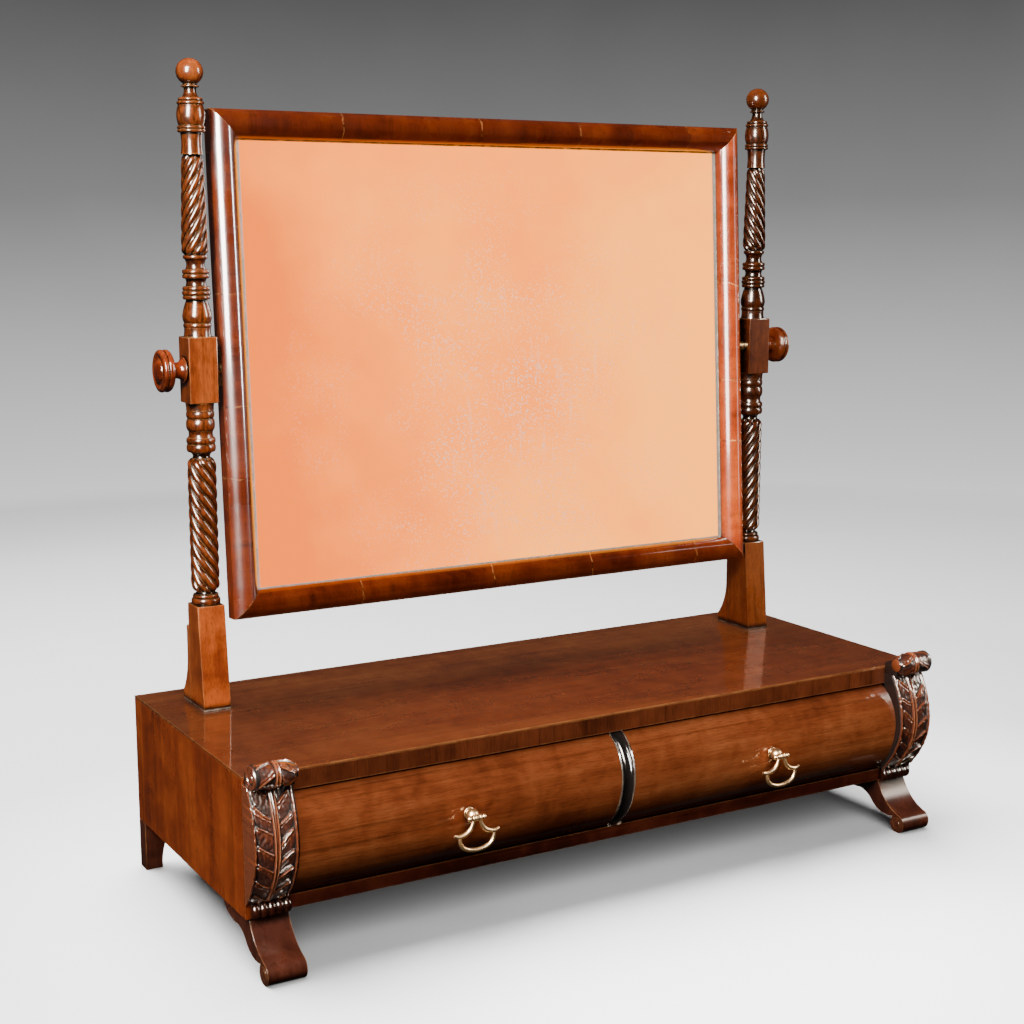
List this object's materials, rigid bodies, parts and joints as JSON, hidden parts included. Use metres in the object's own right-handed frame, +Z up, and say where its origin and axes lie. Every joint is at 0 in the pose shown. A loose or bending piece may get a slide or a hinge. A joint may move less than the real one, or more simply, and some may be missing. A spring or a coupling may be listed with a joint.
{
  "type": "dressing table mirror with drawers",
  "caption": "Dressing-table mirror that tilts between spiral-turned posts, on a box base with bow-fronted drawers, carved scroll pilasters, sabre feet and drop handles.",
  "frame": {"origin": "on the floor under the middle of the base's length and depth", "axes": "+Z up, the drawers open towards -Y, +X to the right of someone facing the mirror"},
  "size_m": [0.7, 0.3002, 0.7213],
  "materials": {
    "polished_mahogany": "french-polished mahogany, glossy",
    "cross_banding": "dark cross-banded veneer, glossy",
    "carved_mahogany": "carved mahogany, waxed and worn on the ridges",
    "turned_mahogany": "turned mahogany, polished",
    "frame_veneer": "cushion-moulded veneer, french-polished",
    "ebonised_wood": "ebonised, gloss",
    "carcase_pine": "stained pine, dry",
    "drawer_lining": "bare oak lining, dry",
    "aged_brass": "pale aged brass",
    "dark_iron": "dark iron",
    "silvered_glass": "aged silvering, foxed"
  },
  "bodies": {
    "case": {"top_board": "carcase_pine", "top_veneer": "polished_mahogany", "fascia_banding": "cross_banding", "back_board": "carcase_pine", "bottom_board": "carcase_pine", "bottom_front_rail": "polished_mahogany", "centre_partition": "carcase_pine", "centre_moulding": "ebonised_wood", "drawer_guides": "carcase_pine", "drawer_stops": "carcase_pine", "post_screws": "dark_iron", "left_side_panel": "polished_mahogany", "right_side_panel": "polished_mahogany", "left_pilaster": "carved_mahogany", "right_pilaster": "carved_mahogany", "left_scroll": "carved_mahogany", "right_scroll": "carved_mahogany", "left_reeded_roll": "carved_mahogany", "right_reeded_roll": "carved_mahogany", "left_front_foot": "carved_mahogany", "right_front_foot": "carved_mahogany", "left_back_foot": "carved_mahogany", "right_back_foot": "carved_mahogany", "left_post": "turned_mahogany", "right_post": "turned_mahogany", "left_post_bracket": "turned_mahogany", "right_post_bracket": "turned_mahogany"},
    "mirror": {"frame_top_rail": "frame_veneer", "frame_bottom_rail": "frame_veneer", "frame_left_stile": "frame_veneer", "frame_right_stile": "frame_veneer", "mirror_glass": "silvered_glass", "mirror_backboard": "carcase_pine", "glazing_blocks": "carcase_pine", "backboard_nails": "dark_iron", "left_nut_plate": "aged_brass", "right_nut_plate": "aged_brass"},
    "left_knob": {"left_knob": "turned_mahogany", "left_knob_screw": "dark_iron"},
    "right_knob": {"right_knob": "turned_mahogany", "right_knob_screw": "dark_iron"},
    "left_drawer": {"left_drawer_front": "polished_mahogany", "left_drawer_left_side": "drawer_lining", "left_drawer_right_side": "drawer_lining", "left_drawer_back": "drawer_lining", "left_drawer_bottom": "drawer_lining", "left_handle_post": "aged_brass", "left_handle_nut": "aged_brass", "left_bail_pin": "aged_brass"},
    "right_drawer": {"right_drawer_front": "polished_mahogany", "right_drawer_left_side": "drawer_lining", "right_drawer_right_side": "drawer_lining", "right_drawer_back": "drawer_lining", "right_drawer_bottom": "drawer_lining", "right_handle_post": "aged_brass", "right_handle_nut": "aged_brass", "right_bail_pin": "aged_brass"},
    "left_bail": {"left_bail": "aged_brass"},
    "right_bail": {"right_bail": "aged_brass"}
  },
  "joints": [
    {"name": "mirror_tilt", "type": "hinge", "parent": "case", "child": "mirror", "pos_m": [0, 0.08795, 0.46075], "axis": [1, 0, 0], "continuous": true},
    {"name": "left_knob_turn", "type": "hinge", "parent": "case", "child": "left_knob", "pos_m": [-0.3268, 0.08795, 0.46075], "axis": [-1, 0, 0], "continuous": true},
    {"name": "right_knob_turn", "type": "hinge", "parent": "case", "child": "right_knob", "pos_m": [0.3268, 0.08795, 0.46075], "axis": [1, 0, 0], "continuous": true},
    {"name": "left_drawer_slide", "type": "slide", "parent": "case", "child": "left_drawer", "axis": [0, -1, 0], "range_m": [0, 0.16]},
    {"name": "right_drawer_slide", "type": "slide", "parent": "case", "child": "right_drawer", "axis": [0, -1, 0], "range_m": [0, 0.16]},
    {"name": "left_bail_swing", "type": "hinge", "parent": "left_drawer", "child": "left_bail", "pos_m": [-0.1595, -0.14795, 0.1044], "axis": [-1, 0, 0], "range_deg": [-22, 200]},
    {"name": "right_bail_swing", "type": "hinge", "parent": "right_drawer", "child": "right_bail", "pos_m": [0.1595, -0.14795, 0.1044], "axis": [-1, 0, 0], "range_deg": [-22, 200]}
  ]
}
